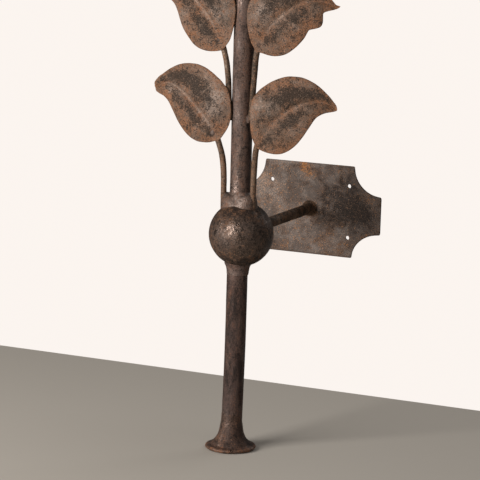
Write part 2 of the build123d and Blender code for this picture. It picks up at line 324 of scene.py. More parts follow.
class Tree:
    """A material's node tree: one method adds any node."""

    def __init__(self, name):
        self.material = bpy.data.materials.new(name)
        self.material.use_nodes = True
        self.nodes = self.material.node_tree.nodes
        self.links = self.material.node_tree.links
        self.nodes.clear()
        self.out = self.add("ShaderNodeOutputMaterial").node
        self.place = self.add("ShaderNodeTexCoord").value("Object")

    def add(self, kind, settings=None, inputs=None):
        """Node of that type with its settings made first, then its sockets given values or links."""
        node = self.nodes.new(kind)
        for key, setting in (settings or {}).items():
            setattr(node, key, setting)
        pairs = inputs.items() if isinstance(inputs, dict) else enumerate(inputs or [])
        for key, given in pairs:
            if isinstance(given, Value):
                self.links.new(given.socket, node.inputs[key])
            else:
                node.inputs[key].default_value = given
        return Made(self, node)

    def noise(self, size, detail, stretch, shift, warp=0.0):
        """Smooth noise about 0 with a spread of about 1, its patches of about the given size in
        millimetres and drawn out along an axis where stretch is below 1."""
        where = self.add(
            "ShaderNodeMapping", {},
            {"Vector": self.place, "Location": (shift, shift * 0.7, shift * 1.3), "Scale": stretch},
        ).value("Vector")
        made = self.add(
            "ShaderNodeTexNoise", {"noise_dimensions": "3D"},
            {
                "Vector": where, "Scale": 1 / (size * MM), "Detail": detail, "Roughness": 0.55,
                "Distortion": warp,
            },
        )
        return (made.value(0) - 0.5) * noise_spread

    def spot(self, centre, radius):
        """1 at a point, falling smoothly to 0 at the given radius in millimetres."""
        made = self.add("ShaderNodeVectorMath", {"operation": "DISTANCE"}, [self.place, centre])
        return 1 - made.value("Value").between(0.0, radius * MM)

    def along(self, axis):
        """Place along X, Y or Z in metres."""
        return self.add("ShaderNodeSeparateXYZ", {}, [self.place]).value(axis)

    def cells(self, size, shift):
        """Distance to the nearest of points scattered at about the given size in millimetres, 0 at the
        point."""
        where = self.add("ShaderNodeMapping", {}, {"Vector": self.place, "Location": (shift, shift, shift)})
        made = self.add(
            "ShaderNodeTexVoronoi", {"feature": "F1"},
            {"Vector": where.value("Vector"), "Scale": 1 / (size * MM)},
        )
        return made.value("Distance")

    def mix(self, factor, a, b):
        """Colour a where factor is 0, b where it is 1."""
        made = self.add("ShaderNodeMix", {"data_type": "RGBA"})
        for key, given in ((0, factor), (6, a), (7, b)):
            if isinstance(given, Value):
                self.links.new(given.socket, made.node.inputs[key])
            else:
                made.node.inputs[key].default_value = (*given, 1) if key else given
        return made.value(2)

    def attribute(self, name):
        return self.add("ShaderNodeAttribute", {"attribute_name": name}).value("Fac")

    def finish(self, colour, roughness, metallic, height):
        """Principled surface: colour, roughness and metallic vary, height in shares of bump_depth is the
        bump."""
        bump = self.add("ShaderNodeBump", {}, {"Height": height, "Distance": bump_depth, "Strength": 1.0})
        shader = self.add(
            "ShaderNodeBsdfPrincipled", {},
            {
                "Base Color": colour, "Roughness": roughness, "Metallic": metallic, "Normal": bump.value(0),
                "Specular IOR Level": iron_specular,
            },
        )
        self.links.new(shader.node.outputs[0], self.out.inputs["Surface"])
        return self.material


# ---- Finishes --------------------------------------------------------------------------------
def aged_iron(name, dark, body, warm, pale, rust, shift, soot_and_shade=0.3, warmth=0.45, wear_and_sheen=0.3, rusty=0.12,
              gloss=0.5, streak=1.0, pit_depth=0.25, speckle=1.0, fleck_glint_colour=None, bias=None):
    """Iron with an old oiled patina. The body colour drifts to a warm brown and, where hands and brushes
    wore it, to a pale smooth one; over that lie black speckle in clusters and flecks of rust. soot,
    warmth, worn and rusty are the shares of black speckle, warm brown, pale wear and rust. Through bias
    the black speckle also lays painted shade, the pale wear painted highlights and sheen, and the bright
    specks painted glints. streak below 1 draws the drifts out along Z, gloss is how far the pale smooth
    places shine, and speckle how far fine grit breaks up every edge. flake is the colour of the few bright
    specks. shift moves the pattern, so that no two finishes match. bias is a function that takes the tree
    and gives what to add to each share over the surface."""
    t = Tree(name)
    drawn = (1, 1, streak)
    big = t.noise(48, 2, drawn, shift)
    mid = t.noise(15, 3, drawn, shift + 3.1, warp=0.5)
    other = t.noise(19, 3, drawn, shift + 8.4)
    small = t.noise(5.5, 3, (1, 1, 0.5 + 0.5 * streak), shift + 5.7)
    fine = t.noise(2.2, 4, (1, 1, 1), shift + 9.2)
    speck = t.noise(0.95, 2, (1, 1, 1), shift + 2.2)
    bowl = t.cells(2.1, shift)
    bowls = t.cells(4.6, shift + 2.0)
    add = {"soot_and_shade": 0.0, "warmth": 0.0, "wear_and_sheen": 0.0, "rusty": 0.0, "flecks_and_glints": 0.0}
    if bias:
        add.update(bias(t))

    def share_of(field, share, extra, soft):
        """Mask that covers about the given share of the surface, moved by the extra field."""
        edge = 1.9 * (0.5 - share) * (1 + 0.5 * abs(0.5 - share))
        return (field + extra).between(edge - soft, edge + soft)

    grit = (fine * 0.75 + speck * 0.55 + small * 0.35) * speckle
    warm_mask = share_of(other * 0.4 + big * 0.2 + (small - speck) * 0.5, warmth, add["warmth"], 0.9)
    # Pale smooth wear; the bias also lays painted highlights and painted sheen into this mask.
    wear_and_sheen_mask = share_of(big * 0.5 - mid * 0.45 + small * 0.3 + grit * 0.3, wear_and_sheen, add["wear_and_sheen"], 1.3)
    # Black speckle; the bias also lays painted shade into this mask.
    soot_and_shade_mask = share_of(mid * 0.42 + small * 0.22 + grit * 0.62, soot_and_shade, add["soot_and_shade"], 1.15)
    rust_mask = share_of(other * 0.3 - small * 0.3 + (fine - speck) * 0.6, rusty, add["rusty"], 0.7)
    # Bright specks: rust flecks, and on the leaves painted glints from the bias.
    sparks = (fine * 0.4 - speck * 0.9 + add["flecks_and_glints"]).between(1.2, 1.8)

    colour = t.mix(warm_mask, body, warm)
    colour = t.mix(wear_and_sheen_mask * 0.8, colour, pale)
    colour = t.mix(rust_mask * 0.8, colour, rust)
    colour = t.mix(soot_and_shade_mask * 0.9, colour, dark)
    colour = t.mix(grit.between(-0.3, 1.7) * 0.62, colour, dark)
    colour = t.mix(sparks * (0.3 + wear_and_sheen_mask * 0.4), colour, fleck_glint_colour or pale)

    shine = wear_and_sheen_mask * (1 - soot_and_shade_mask * 0.5)
    roughness = 0.70 - shine * (0.36 * gloss) + rust_mask * 0.12 + soot_and_shade_mask * 0.12 + fine * 0.015
    metallic = (shine * (0.6 * gloss) + 0.1) * (1 - rust_mask)
    height = fine * 0.05 + speck * 0.03 + small * 0.05 - soot_and_shade_mask * 0.1 + rust_mask * 0.06
    height = height - (0.38 - bowl).most(0) * 1.6 * pit_depth - (0.3 - bowls).most(0) * 2.4 * pit_depth
    return t.finish(colour, roughness.clamped(), metallic.clamped(), height)


def leaf_bias(t):
    """Painted shade: black speckle thickens in bands on both sides of the crease, where the leaf's halves
    turn from the lamp. Rust lies along the rim. The crease is laid paler and warmer, with less speckle,
    partly as a painted highlight and partly as rust. gleam is a painted highlight, a thin bright line
    with glints on the crease, and sheen is a painted sheen, a paler patch by the root."""
    rim, crease, shade = t.attribute("rim"), t.attribute("crease"), t.attribute("shade")
    sheen, gleam = t.attribute("sheen"), t.attribute("gleam")
    return {
        "soot_and_shade": shade * 1.7 - crease * 1.0 - gleam * 2.0 - sheen * 1.2 - rim * 0.4 - 0.30,
        "flecks_and_glints": gleam * 2.0,
        "warmth": rim * 0.8 + crease * 0.8 - shade * 0.4 - sheen * 1.5,
        "wear_and_sheen": gleam * 4.0 + crease * 0.8 + sheen * 1.2 - shade * 0.5 - rim * 0.4,
        "rusty": rim * 0.3 + crease * 0.3 - shade * 0.4,
    }


def ball_bias(t):
    """Rough, pitted and rusty towards both poles, smoother and paler round the middle; the darker poles and
    paler middle are also painted shade and painted highlight where the ball turns from and towards the low
    lamp.
    """
    height = t.along("Z") / ball_r
    # pole: painted shade where the ball turns from the low lamp, together with the pits and rust of the
    # poles.
    pole = height.math("ABSOLUTE").between(0.30, 0.80)
    return {
        "soot_and_shade": pole * 1.5 - 0.5,
        "wear_and_sheen": 0.9 - pole * 2.0,
        "rusty": pole * 0.9 - 0.25,
        "warmth": pole * 0.4,
    }


def plate_bias(t):
    """Painted shadow of the ball and arm, dark to the arm's right and over the right ear; rust run down
    from the top edge, flecks by the left holes."""
    # dark: painted shadow cast by the ball and arm onto the plate.
    dark = t.spot((0.046, 0, 0.010), 52) + t.spot((0.068, 0, 0.0), 28) * 0.8
    run = t.spot((-0.004, 0, 0.046), 17) + t.spot((-0.012, 0, 0.056), 12)
    flecks = t.spot((-0.056, 0, 0.020), 34) + t.spot((-0.066, 0, 0.036), 20)
    low_right = t.spot((0.040, 0, -0.050), 34)
    return {
        "soot_and_shade": dark * 2.2 - 0.5 - flecks * 0.4 - low_right * 0.5,
        "rusty": run * 2.0 + flecks * 0.25 - 0.7,
        "flecks_and_glints": flecks * 0.5 + run * 0.5,
        "warmth": run * 1.2 + flecks * 0.5 + low_right * 1.4 - 0.1,
        "wear_and_sheen": dark * -1.0 + flecks * 0.2,
    }


def foot_bias(t):
    """Rust and wear on the rim, which is the lowest and outermost part."""
    rim = t.attribute("rim")
    return {"rusty": rim * 0.9, "warmth": rim * 1.6, "wear_and_sheen": rim * 0.9, "soot_and_shade": rim * -0.5}


leaf_finish = aged_iron(
    "mottled_leaf_sheet",
    dark=(0.020, 0.013, 0.009), body=(0.104, 0.066, 0.046), warm=(0.168, 0.078, 0.038),
    pale=(0.170, 0.128, 0.106), rust=(0.230, 0.092, 0.040), fleck_glint_colour=(0.34, 0.24, 0.18),
    shift=0.4, warmth=0.5, wear_and_sheen=0.22, rusty=0.10, bias=leaf_bias,
)
bar_finish = aged_iron(
    "oiled_bar_iron",
    dark=(0.016, 0.010, 0.008), body=(0.088, 0.056, 0.046), warm=(0.118, 0.063, 0.042),
    pale=(0.185, 0.145, 0.130), rust=(0.170, 0.075, 0.040),
    shift=1.3, soot_and_shade=0.25, warmth=0.4, wear_and_sheen=0.45, rusty=0.06, gloss=1.4, streak=0.3, pit_depth=0.12,
    speckle=0.6,
)
tube_finish = aged_iron(
    "oiled_tube_iron",
    dark=(0.010, 0.006, 0.005), body=(0.052, 0.031, 0.026), warm=(0.076, 0.037, 0.025),
    pale=(0.140, 0.106, 0.096), rust=(0.150, 0.066, 0.038),
    shift=4.1, soot_and_shade=0.36, wear_and_sheen=0.4, rusty=0.07, gloss=1.45, streak=0.3, pit_depth=0.15, speckle=0.6,
)
ball_finish = aged_iron(
    "burnished_ball_iron",
    dark=(0.010, 0.006, 0.004), body=(0.052, 0.031, 0.023), warm=(0.088, 0.042, 0.023),
    pale=(0.136, 0.105, 0.090), rust=(0.190, 0.085, 0.036),
    shift=2.6, soot_and_shade=0.35, warmth=0.4, wear_and_sheen=0.42, rusty=0.06, gloss=1.4, speckle=0.7, bias=ball_bias,
)
stem_finish = aged_iron(
    "rusted_rod",
    dark=(0.026, 0.018, 0.012), body=(0.105, 0.068, 0.044), warm=(0.145, 0.074, 0.041),
    pale=(0.200, 0.150, 0.115), rust=(0.200, 0.083, 0.036), shift=3.9, gloss=0.6, streak=0.4,
)
foot_finish = aged_iron(
    "forged_foot_iron",
    dark=(0.010, 0.006, 0.005), body=(0.052, 0.031, 0.025), warm=(0.086, 0.042, 0.026),
    pale=(0.136, 0.096, 0.080), rust=(0.200, 0.090, 0.045),
    shift=4.1, soot_and_shade=0.32, wear_and_sheen=0.35, rusty=0.07, gloss=1.4, streak=0.3, pit_depth=0.2, speckle=0.6,
    bias=foot_bias,
)
plate_finish = aged_iron(
    "slate_sheet_iron",
    dark=(0.016, 0.011, 0.009), body=(0.070, 0.052, 0.044), warm=(0.100, 0.056, 0.036),
    pale=(0.122, 0.103, 0.093), rust=(0.330, 0.135, 0.035), fleck_glint_colour=(0.48, 0.29, 0.19),
    shift=6.5, soot_and_shade=0.25, warmth=0.35, rusty=0.05, pit_depth=0.12, speckle=0.45, bias=plate_bias,
)
arm_finish = aged_iron(
    "pitted_arm_iron",
    dark=(0.012, 0.008, 0.005), body=(0.062, 0.036, 0.022), warm=(0.115, 0.058, 0.029),
    pale=(0.150, 0.100, 0.070), rust=(0.210, 0.095, 0.040),
    shift=7.8, soot_and_shade=0.42, warmth=0.5, wear_and_sheen=0.15, rusty=0.15, pit_depth=0.6,
)
weld_finish = aged_iron(
    "brushed_weld_iron",
    dark=(0.024, 0.016, 0.012), body=(0.086, 0.058, 0.048), warm=(0.112, 0.066, 0.046),
    pale=(0.155, 0.122, 0.108), rust=(0.175, 0.078, 0.042),
    shift=9.1, soot_and_shade=0.22, warmth=0.4, wear_and_sheen=0.35, rusty=0.06, gloss=0.9, pit_depth=0.15, speckle=0.6,
)
lower_weld_finish = aged_iron(
    "dark_weld_iron",
    dark=(0.022, 0.015, 0.013), body=(0.100, 0.066, 0.056), warm=(0.132, 0.072, 0.052),
    pale=(0.175, 0.136, 0.122), rust=(0.150, 0.066, 0.038),
    shift=11.7, soot_and_shade=0.28, warmth=0.4, rusty=0.07, gloss=0.9, pit_depth=0.15, speckle=0.6,
)
pan_finish = aged_iron(
    "hammered_pan_iron",
    dark=(0.026, 0.020, 0.015), body=(0.112, 0.070, 0.049), warm=(0.160, 0.082, 0.045),
    pale=(0.210, 0.160, 0.128), rust=(0.220, 0.088, 0.038), shift=10.4, gloss=0.6,
)


# ---- Ball ------------------------------------------------------------------------------------
ball_wall = 3.0 * MM
seam_half = 1.4 * MM
ball_columns = 300
outer_rows, inner_rows = 80, 24


def ball_shell(name, upper):
    """Half of the hollow ball: a quarter arc from the seam to the bar's hole outside, back along a
    quarter arc inside, carried round the axis. The outside is dented, and pitted more towards the
    poles."""
    start, end = np.arcsin(seam_half / ball_r), np.arccos((bar_r + 0.1 * MM) / ball_r)
    angle = np.r_[np.linspace(start, end, outer_rows), np.linspace(end, start, inner_rows)]
    r = np.r_[np.full(outer_rows, ball_r), np.full(inner_rows, ball_r - ball_wall)]
    sign = 1 if upper else -1
    arc = np.stack([r * np.cos(angle), sign * r * np.sin(angle)], 1)
    grid = turned(arc, ball_columns) + [ball[0], 0, 0]
    return piece(name, [ball_skin(grid)], ball_finish, [name], loop=True)


def ball_skin(grid):
    """Moves points of the ball's outside along its radius: broad dents, scale, and pits near the
    poles."""
    away = grid - ball
    radius = np.linalg.norm(away, axis=-1, keepdims=True)
    n = away / radius
    outside = fade((radius - (ball_r - ball_wall * 0.4)) / (ball_wall * 0.3))
    poles = fade((np.abs(n[..., 2]) - 0.35) / 0.45)
    move = 0.22 * layered(grid, 24 * MM, 11) + 0.05 * layered(grid, 2.0 * MM, 12)
    move = move - (0.10 + 0.42 * poles) * pits(grid, 3.4 * MM, 13, 0.7)
    move = move - 0.12 * poles * pits(grid, 1.8 * MM, 14, 0.8)
    return grid + n * outside * (move * MM)[..., None]


ball_shell("ball_upper_half", True)
ball_shell("ball_lower_half", False)

seam = np.array([(ball_r, -seam_half), (ball_r, 0), (ball_r, seam_half), (ball_r - ball_wall, 0)])
seam_ring = ball_skin(turned(seam, ball_columns) + [ball[0], 0, 0])
piece("ball_seam_weld", [seam_ring], ball_finish, ["ball_seam_weld"], loop=True)


# ---- Main bar, lower tube and foot -----------------------------------------------------------
bar_foot, bar_end = low("main_bar")[2], high("main_bar")[2]
pan_seat = low("drip_pan")[2]
bar_step = -32 * MM         # inside the ball, where the bar thins down to its spigot
top_tenon_r = 5 * MM


def bow(grid):
    """The forging is not quite straight: X moves by 0.8 mm times a bell curve in Z round 60 mm above the
    ball, and by -2.6 mm times the power 1.5 of the depth below -120 mm, counted in steps of 142 mm."""
    z = grid[..., 2]
    swell = 0.8 * MM * np.exp(-(((z - 0.060) / 0.080) ** 2)) * fade((z + 0.03) / 0.05)
    lean = -2.6 * MM * np.clip((-0.120 - z) / 0.142, 0, 1) ** 1.5
    bent = grid.copy()
    bent[..., 0] += swell + lean
    return bent


seen_r = bar_r - 0.3 * MM
bar_profile = rounded(
    [
        (0, bar_foot), (spigot_r, bar_foot), (spigot_r, bar_step), (seen_r, bar_step), (seen_r, pan_seat),
        (top_tenon_r, pan_seat), (top_tenon_r, bar_end), (0, bar_end),
    ],
    [0.6 * MM] * 6, 1.5 * MM,
)
bar_grid = hammered(turned(bar_profile, 60), 21, dents=0.16, dent_size=30, roughness=0.03, pit=0.08)
piece("main_bar", [bow(bar_grid)], bar_finish, ["main_bar"])

tube_foot = low("lower_tube")[2]
tube_bore = spigot_r + 0.1 * MM
tube_head = -ball_r * 0.93
tube_profile = rounded(
    [
        (tube_bore, tube_foot), (tube_r, tube_foot), (tube_r, tube_head), (tube_bore, tube_head),
        (tube_bore, tube_foot + 1 * MM),
    ],
    [0.3 * MM] * 3, 1.2 * MM,
)
tube_grid = hammered(
    turned(tube_profile), 31, dents=0.14, dent_size=26, roughness=0.03, pit=0.08, loop=True
)
piece("lower_tube", [bow(tube_grid)], tube_finish, ["lower_tube"], loop=True)

foot_r = (high("foot")[0] - low("foot")[0]) / 2
foot_profile = np.vstack([
    rounded(
        [(0, ground + 1.5 * MM), (foot_r - 4.4 * MM, ground + 0.4 * MM), (foot_r - 3.2 * MM, ground),
         (foot_r - 0.5 * MM, ground + 1.2 * MM), (foot_r, ground + 3.6 * MM),
         (foot_r - 1.6 * MM, ground + 4.9 * MM)],
        [1 * MM, 1.2 * MM, 1.0 * MM, 0.9 * MM], 0.5 * MM,
    ),
    curve_through(
        [(foot_r - 3.0 * MM, ground + 5.0 * MM), (foot_r - 6.5 * MM, ground + 5.9 * MM),
         (tube_r + 9.4 * MM, ground + 8.6 * MM), (tube_r + 5.8 * MM, ground + 13.0 * MM),
         (tube_r + 2.8 * MM, ground + 20.0 * MM), (tube_r + 0.9 * MM, ground + 31.0 * MM),
         (tube_r + 0.3 * MM, tube_foot), (tube_r + 0.15 * MM, tube_foot + 7 * MM),
         (tube_r - 0.5 * MM, tube_foot + 11 * MM)],
        54,
    ),
    rounded([(spigot_r, tube_foot), (spigot_r, high("foot")[2]), (0, high("foot")[2])], [1 * MM], 1.5 * MM),
])
foot_grid = hammered(
    turned(foot_profile, 132), 41, dents=0.35, dent_size=13, roughness=0.08, pit=0.3, pit_size=3
)
# The flare's rim is ragged: its radius and height wander, more the further out it lies.
out_from_bar = np.hypot(foot_grid[..., 0], foot_grid[..., 1] - axis_y)
rim_share = fade((out_from_bar - 0.72 * foot_r) / (0.28 * foot_r))
ragged = layered(foot_grid * [1, 1, 0.2], 9 * MM, 47) * 0.7 * MM * rim_share
foot_grid[..., 0] *= 1 + ragged / foot_r
foot_grid[..., 1] = axis_y + (foot_grid[..., 1] - axis_y) * (1 + ragged / foot_r)
uneven = rim_share * 0.5 * MM * layered(foot_grid, 16 * MM, 49)
foot_grid[..., 2] = np.maximum(foot_grid[..., 2] + uneven, ground)
out_from_bar = np.hypot(foot_grid[..., 0], foot_grid[..., 1] - axis_y)
rim_mask = fade((out_from_bar / foot_r - 0.86) / 0.10)
rim_mask = rim_mask * fade((foot_grid[..., 2] - ground) / (2.0 * MM))
piece("foot", [bow(foot_grid)], foot_finish, ["foot"], attributes={"rim": [rim_mask]})

# ---- Collars ---------------------------------------------------------------------------------
collar_top = high("upper_collar")[2]
stem_x = bar_r + 3.7 * MM + stem_r
collar_rows = 44
front_line = curve_through(
    [(bar_r - 1.5 * MM, collar_top + 6 * MM), (bar_r - 0.2 * MM, collar_top + 3.5 * MM),
     (bar_r + 0.4 * MM, 46.5 * MM), (bar_r + 1.3 * MM, 42.5 * MM), (bar_r + 2.6 * MM, 39.0 * MM),
     (bar_r + 4.0 * MM, 36.6 * MM), (bar_r + 4.4 * MM, 35.0 * MM), (bar_r + 1.5 * MM, 32 * MM)],
    collar_rows,
)
side_line = curve_through(
    [(bar_r - 1.5 * MM, collar_top + 3 * MM), (bar_r + 0.8 * MM, collar_top + 0.8 * MM),
     (bar_r + 2.4 * MM, collar_top + 0.2 * MM), (stem_x - 0.6 * MM, collar_top + 0.4 * MM),
     (stem_x + stem_r - 1.0 * MM, 42.0 * MM), (stem_x + stem_r - 0.9 * MM, 36 * MM),
     (stem_x + stem_r - 0.6 * MM, 30 * MM), (stem_x - 1 * MM, 26 * MM)],
    collar_rows,
)
# The collar's outline is the front line at the front and back and the side line at the stems, with a power
# of the cosine of the turn as the share of the side line.
turn = np.linspace(0, 2 * pi, 150, endpoint=False)
towards_stem = (np.abs(np.cos(turn + 0.35 * np.sign(np.cos(turn)))) ** 2.4)[None, :, None]
line = front_line[:, None] * (1 - towards_stem) + side_line[:, None] * towards_stem
forward = 1.0 * MM * fade(line[..., 0] / bar_r - 1)
collar_grid = np.stack(
    [line[..., 0] * np.cos(turn), axis_y + line[..., 0] * np.sin(turn) * 0.98 - forward, line[..., 1]],
    axis=-1,
)
collar_grid = hammered(collar_grid, 51, dents=0.6, dent_size=10, roughness=0.07, pit=0.1, loop=True)
collar_grid[..., 0] += 1.6 * MM
piece("upper_collar", [collar_grid], weld_finish, ["upper_collar"], loop=True)

under_line = curve_through(
    [(tube_r - 0.8 * MM, -36 * MM), (tube_r - 0.8 * MM, -47 * MM), (tube_r + 0.1 * MM, -48.6 * MM),
     (tube_r + 0.6 * MM, -46.6 * MM), (tube_r + 1.0 * MM, -43 * MM), (tube_r + 1.9 * MM, -39 * MM),
     (tube_r + 3.6 * MM, -35 * MM), (tube_r + 3.0 * MM, -32 * MM)],
    collar_rows, closed=True,
)
under_grid = hammered(
    turned(under_line, 96), 61, dents=0.5, dent_size=8, roughness=0.08, pit=0.12, loop=True
)
under_grid = under_grid + [0.5 * MM, 0, 0]
piece("lower_collar", [under_grid], lower_weld_finish, ["lower_collar"], loop=True)

# ---- Arm and its weld ------------------------------------------------------------------------
plate_face = low("back_plate")[1]
shoulder_r = (high("arm")[0] - low("arm")[0]) / 2
tenon_r = 4 * MM
arm_profile = np.vstack([
    curve_through(
        [(0, 0), (5.6 * MM, 0), (tenon_r, -1.6 * MM), (tenon_r, plate_face),
         (shoulder_r - 0.9 * MM, plate_face),
         (shoulder_r - 1.4 * MM, plate_face - 0.6 * MM), (arm_r + 2.6 * MM, plate_face - 1.6 * MM),
         (arm_r + 1.5 * MM, plate_face - 3.6 * MM), (arm_r + 0.9 * MM, plate_face - 8 * MM),
         (arm_r + 0.3 * MM, plate_face - 16 * MM)],
        60,
    ),
    rounded(
        [(arm_r + 0.3 * MM, plate_face - 18 * MM), (arm_r + 0.3 * MM, axis_y + bar_r),
         (tenon_r, axis_y + bar_r), (tenon_r, low("arm")[1]), (0, low("arm")[1])],
        [0.3 * MM] * 3, 1.4 * MM,
    ),
])
arm_grid = hammered(
    turned(arm_profile, 48, "y"), 71, dents=0.35, dent_size=11, roughness=0.10, pit=0.35, pit_size=3
)
arm_grid[..., 1] = np.minimum(arm_grid[..., 1], 0)
piece("arm", [arm_grid], arm_finish, ["arm"])

ring_y = axis_y + sqrt(ball_r**2 - arm_r**2)
ring_line = curve_through(
    [(arm_r - 0.6 * MM, ring_y + 4.2 * MM), (arm_r + 0.5 * MM, ring_y + 4.0 * MM),
     (arm_r + 2.0 * MM, ring_y + 2.3 * MM), (arm_r + 3.7 * MM, ring_y + 0.2 * MM),
     (arm_r + 4.2 * MM, ring_y - 1.8 * MM), (arm_r + 1.0 * MM, ring_y - 2.5 * MM)],
    30, closed=True,
)
ring_grid = hammered(turned(ring_line, 72, "y"), 81, dents=0.5, dent_size=5, roughness=0.08, loop=True)
piece("ball_arm_weld", [ring_grid], weld_finish, ["ball_arm_weld"], loop=True)

# ---- Wall plate ------------------------------------------------------------------------------
plate_half_w = high("back_plate")[0]
plate_half_h = high("back_plate")[2]
edge_half_w = 59.5 * MM
ear_half_h = 24.0 * MM
screw_x, screw_z, screw_r = 52.3 * MM, 32.7 * MM, 2.5 * MM
scoop_steps, edge_steps = 22, 40
edge_round = 0.8 * MM


def plate_outline(notch_out, notch_up):
    """Half height of the plate against x, as rows (x, half height) from the middle to the ear's end:
    straight, then a quarter ellipse scooped out of the corner, then the ear with a rounded tip."""
    theta = np.linspace(0, pi / 2, scoop_steps)
    scoop = np.stack(
        [plate_half_w - notch_out * np.cos(theta), plate_half_h - notch_up * np.sin(theta)], 1
    )[1:-1]
    straight = np.linspace(0, plate_half_w - notch_out - 0.3 * MM, edge_steps)
    top = np.stack([straight, np.full(edge_steps, plate_half_h)], 1)
    top[-1, 1] -= 0.5 * MM
    tip = np.array([(plate_half_w - 1.5 * MM, plate_half_h - notch_up - 0.1 * MM),
                    (plate_half_w - 0.4 * MM, plate_half_h - notch_up - 1.0 * MM),
                    (plate_half_w, plate_half_h - notch_up - 2.8 * MM)])
    return np.vstack([top, scoop, tip])


def plate_grid():
    """Front and back of the plate as one closed tube from ear to ear: column lines run across the height
    at each x, front face down, back face up. The sheet is bowed a little and dented."""
    notch_w, notch_h = plate_half_w - edge_half_w, plate_half_h - ear_half_h
    upper = plate_outline(notch_w + 0.8 * MM, notch_h + 1.8 * MM)
    lower = plate_outline(notch_w + 1.2 * MM, notch_h - 1.8 * MM)
    near_bar = plate_outline(notch_w - 2.8 * MM, notch_h + 1.8 * MM)
    x = np.r_[-near_bar[::-1, 0], upper[1:, 0]]
    top = np.r_[near_bar[::-1, 1], upper[1:, 1]]
    low_x = np.r_[-lower[::-1, 0], lower[1:, 0]]
    low_edge = -np.r_[lower[::-1, 1], lower[1:, 1]]
    share = np.linspace(0, 1, 70)[None]
    z = top[:, None] * (1 - share) + low_edge[:, None] * share
    xs = x[:, None] * (1 - share) + low_x[:, None] * share
    edge = np.minimum(share, 1 - share) * (top - low_edge)[:, None]
    thick = 0.5 * high("back_plate")[1] - 0.5 * plate_face
    near = np.sqrt(1 - (1 - np.clip(edge / edge_round, 0, 1)) ** 2)
    ends = np.sqrt(1 - (1 - np.clip((plate_half_w - np.abs(xs)) / edge_round, 0, 1)) ** 2)
    half = thick * (0.35 + 0.65 * near * ends)
    flat = np.stack([xs, 0 * xs, z], -1)
    buckle = 0.35 * MM * layered(flat, 60 * MM, 91) + 0.05 * MM * layered(flat, 5 * MM, 92)
    middle = -thick - np.abs(buckle) * 0.4
    front = np.stack([xs, middle - half + buckle * 0.3, z], -1)
    back = np.stack([xs, np.minimum(middle + half, -0.02 * MM), z], -1)
    return np.concatenate([front, back[:, ::-1]], axis=1)


plate = piece("back_plate", [plate_grid()], plate_finish, ["back_plate"], sharp=50)


def drill(target, x, z):
    """Cuts one round screw hole through the plate, a little uneven as a punched hole is."""
    count = 28
    a = np.linspace(0, 2 * pi, count, endpoint=False)
    r = screw_r * (1 + 0.04 * np.sin(3 * a + x * 90))
    ring = np.stack([x + r * np.cos(a), 0 * a, z + r * np.sin(a)], -1)
    rows = [ring + [0, depth * MM, 0] for depth in (-12, 6)]
    caps = [list(range(count)), list(range(2 * count - 1, count - 1, -1))]
    mesh = bpy.data.meshes.new("punch")
    mesh.from_pydata(np.vstack(rows), [], faces_of(2, count, False).tolist() + caps)
    work = bmesh.new()
    work.from_mesh(mesh)
    bmesh.ops.recalc_face_normals(work, faces=work.faces)
    work.to_mesh(mesh)
    work.free()
    punch = bpy.data.objects.new("punch", mesh)
    bpy.context.scene.collection.objects.link(punch)
    cut = target.modifiers.new("cut", "BOOLEAN")
    cut.operation, cut.object, cut.solver = "DIFFERENCE", punch, "EXACT"
    drilled = bpy.data.meshes.new_from_object(target.evaluated_get(bpy.context.evaluated_depsgraph_get()))
    target.modifiers.clear()
    target.data = drilled
    bpy.data.objects.remove(punch)


for side in (-1, 1):
    for end in (-1, 1):
        drill(plate, side * screw_x, end * screw_z)

# ---- Leaves ----------------------------------------------------------------------------------
leaf_t = 1.2 * MM
leaf_lean = radians(7.0)
dome_r, dome_edge = 220.0, 47.0
dome_at = np.array([36.0, 38.0])
root = (0, 0)
# Edges, tips and midribs of the blades, in millimetres out and up from the root.
pointed_lower = [
    root, (8, -2.6), (16, -4.2), (24, -4.4), (31.5, -2.8), (38, 0.4), (44.3, 5.4), (50.4, 11.9),
    (55.8, 19.3), (60.2, 26.7), (64.4, 34.5), (69.3, 41.9), (74, 45.9), (80, 48.6), (86.5, 50.2),
    (91.4, 51.6),
]
lower_edges = {
    "blunt": [
        root, (12, -3.9), (21, -4.6), (30, -3.8), (38.5, 0.2), (46.6, 7), (53.2, 14.5), (59.4, 23.2),
        (65, 31.6), (71, 38.2), (78, 42.2), (85, 44.0), (90.2, 46),
    ],
    "pointed": pointed_lower,
    "wide": pointed_lower,
    "lobed": [
        root, (7.6, -1.6), (15, -3.4), (23, -4), (31.4, -2.6), (38.5, 0.1), (44.4, 4.4), (51.4, 10.8),
        (57.7, 18.5), (61.2, 24.3), (63.6, 27.5), (70.4, 29.2), (76.2, 31.6), (78.5, 36), (78.7, 42),
        (79.3, 47.2), (84, 49.3), (91, 51.0), (95.4, 52.8),
    ],
}
past_the_belly = [
    (-4, 64), (1, 69.4), (7.5, 74.6), (17, 80.8), (29.7, 85.7), (41, 87), (52, 86), (64.8, 81.2),
    (74.3, 74.9), (83, 67.4), (90.4, 59), (92.4, 55),
]
slim_belly = [root, (-2.5, 4), (-6, 12), (-8.3, 23), (-9.5, 34), (-9.5, 46), (-8, 56)]
full_belly = [root, (-2.5, 4), (-7.2, 12), (-10.2, 23), (-11.6, 34), (-11.6, 46), (-9.4, 56)]
upper_edges = {
    "blunt": [
        root, (-3.8, 2.8), (-9.2, 11), (-14.0, 21), (-15.6, 31), (-15.3, 41), (-12.8, 52), (-8.2, 61.5),
        (-1.2, 68.6), (6.5, 74.4), (16, 79.8), (26, 83.7), (38, 85.7), (50, 84.4), (61.6, 81), (72.4, 75.2),
        (82, 68.3), (91, 60.6), (94.4, 56),
    ],
    "pointed": slim_belly + past_the_belly,
    "wide": full_belly + past_the_belly,
    "lobed": full_belly + past_the_belly,
}
